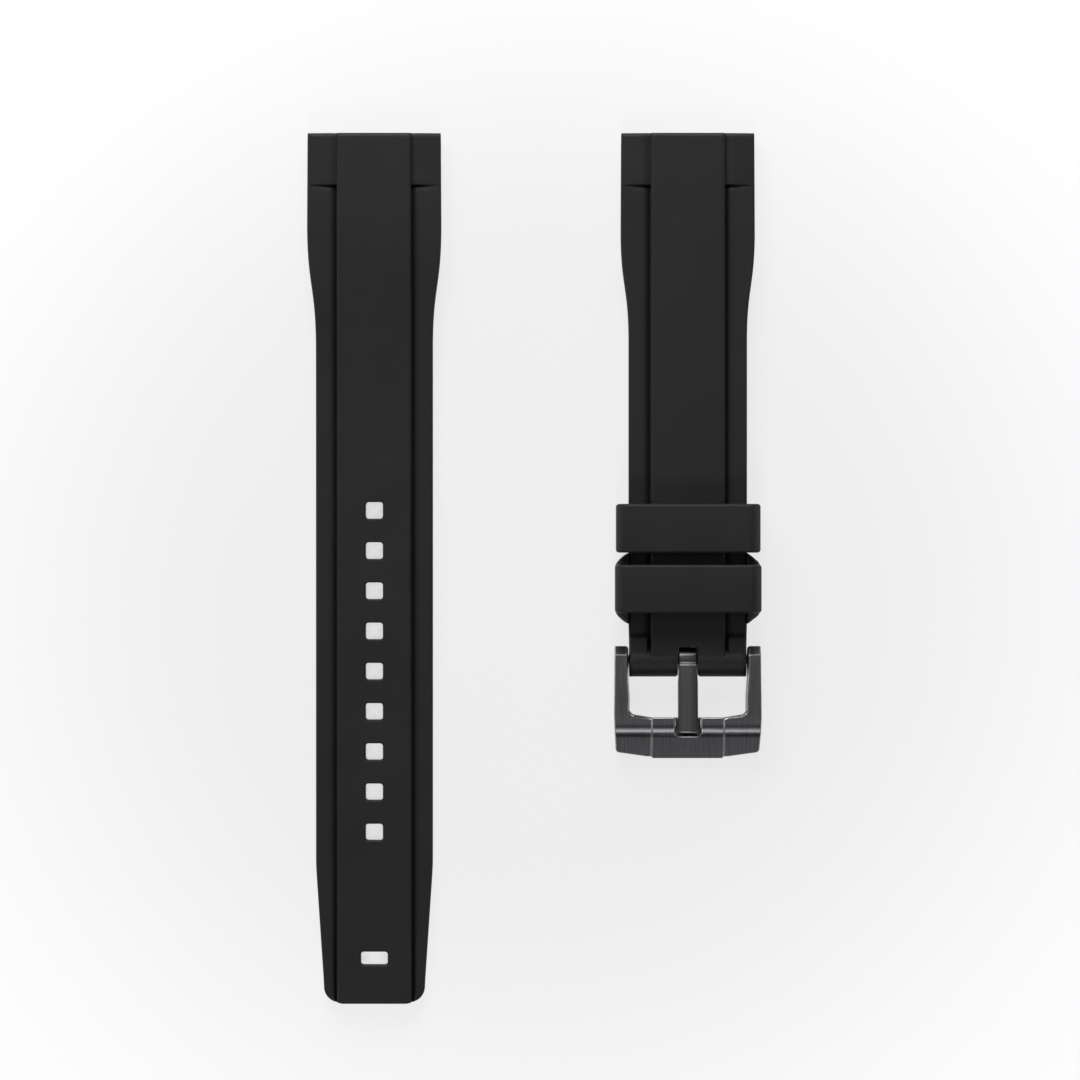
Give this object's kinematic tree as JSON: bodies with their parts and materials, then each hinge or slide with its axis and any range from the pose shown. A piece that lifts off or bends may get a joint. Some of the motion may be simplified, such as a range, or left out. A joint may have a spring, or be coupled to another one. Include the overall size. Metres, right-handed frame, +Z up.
{
  "type": "rubber dive strap",
  "caption": "Two-piece moulded rubber watch strap with a raised centre band, square adjustment holes, rubber keepers and a brushed metal tongue buckle on a spring bar.",
  "frame": {"origin": "on the table, at the centre of the box round both halves as they lie side by side, face up", "axes": "+X across the straps from the tail half to the buckle half, +Y towards the watch ends, +Z up from the table, out of the straps' outer face"},
  "size_m": [0.0683, 0.131, 0.0091],
  "materials": {
    "strap_rubber": "matt moulded",
    "buckle_steel": "dark coated, brushed along the strap",
    "spring_bar_steel": "turned"
  },
  "bodies": {
    "buckle_half": {"buckle_strap": "strap_rubber", "fixed_keeper": "strap_rubber"},
    "tail_half": {"tail_strap": "strap_rubber"},
    "floating_keeper": {"floating_keeper": "strap_rubber"},
    "buckle_frame": {"buckle_frame": "buckle_steel"},
    "tongue": {"tongue": "buckle_steel"},
    "spring_bar": {"spring_bar_tube": "spring_bar_steel", "spring_bar_spring": "spring_bar_steel"},
    "left_pin": {"spring_bar_pin_left": "spring_bar_steel"},
    "right_pin": {"spring_bar_pin_right": "spring_bar_steel"}
  },
  "joints": [
    {"name": "tail_lift", "type": "slide", "parent": "buckle_half", "child": "tail_half", "axis": [0, 0, 1], "range_m": [0, 0.03]},
    {"name": "keeper_slide", "type": "slide", "parent": "buckle_half", "child": "floating_keeper", "axis": [0, 1, 0], "range_m": [0, 0.024]},
    {"name": "buckle_swing", "type": "hinge", "parent": "buckle_half", "child": "buckle_frame", "pos_m": [0.02307, -0.01362, 0.0026], "axis": [-1, 0, 0], "range_deg": [-90, 15]},
    {"name": "tongue_lift", "type": "hinge", "parent": "buckle_frame", "child": "tongue", "pos_m": [0.02307, -0.01362, 0.0026], "axis": [-1, 0, 0], "range_deg": [0, 65]},
    {"name": "spring_bar_turn", "type": "hinge", "parent": "buckle_half", "child": "spring_bar", "pos_m": [0.02307, -0.01362, 0.0026], "axis": [1, 0, 0], "continuous": true},
    {"name": "left_pin_press", "type": "slide", "parent": "spring_bar", "child": "left_pin", "axis": [1, 0, 0], "range_m": [0, 0.001], "stiffness_N_per_m": 1000, "springref_m": -0.001, "deforming": ["spring_bar_spring"]},
    {"name": "right_pin_press", "type": "slide", "parent": "spring_bar", "child": "right_pin", "axis": [-1, 0, 0], "range_m": [0, 0.001], "stiffness_N_per_m": 1000, "springref_m": -0.001, "deforming": ["spring_bar_spring"]}
  ]
}
